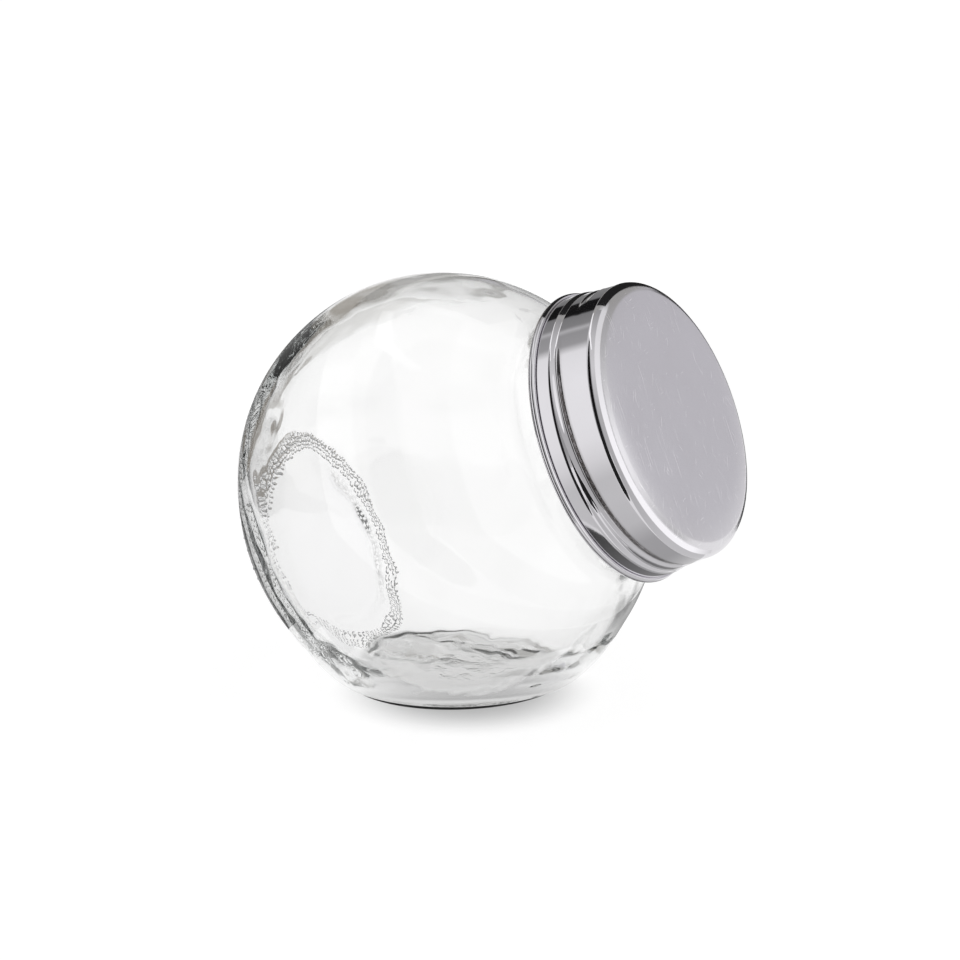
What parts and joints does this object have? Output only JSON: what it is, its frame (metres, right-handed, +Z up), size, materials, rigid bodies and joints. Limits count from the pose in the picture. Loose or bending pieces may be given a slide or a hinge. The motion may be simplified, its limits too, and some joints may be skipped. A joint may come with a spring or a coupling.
{
  "type": "glass storage jar",
  "caption": "Tilted ball-shaped clear glass storage jar that stands on a flat in its side, with a screw lid of drawn steel and a white sealing disc.",
  "frame": {"origin": "centre of the flat that the jar stands on, on the table", "axes": "+Z up; the mouth axis leans 22.8 degrees up from level, towards +X; the jar is symmetric about the XZ plane"},
  "size_m": [0.1085, 0.096, 0.0896],
  "materials": {
    "clear_glass": "clear, fire-polished, a little wavy inside, with a stippled ring on the base",
    "lid_steel": "bright rolled skirt, finely scratched panel",
    "seal_plastic": "soft white foamed plastic"
  },
  "bodies": {
    "jar": {"glass_jar": "clear_glass"},
    "seal": {"sealing_disc": "seal_plastic"},
    "lid": {"lid_shell": "lid_steel"}
  },
  "joints": [
    {"name": "lid_lift", "type": "slide", "parent": "jar", "child": "seal", "axis": [0.9219, 0, 0.3875], "range_m": [0, 0.018]},
    {"name": "lid_turn", "type": "hinge", "parent": "seal", "child": "lid", "pos_m": [0.05117, 0, 0.06278], "axis": [0.9219, 0, 0.3875], "range_deg": [0, 810]}
  ],
  "couplings": [
    {"joint": "lid_lift", "follows": "lid_turn", "m_per_rad": 0.0012732}
  ]
}
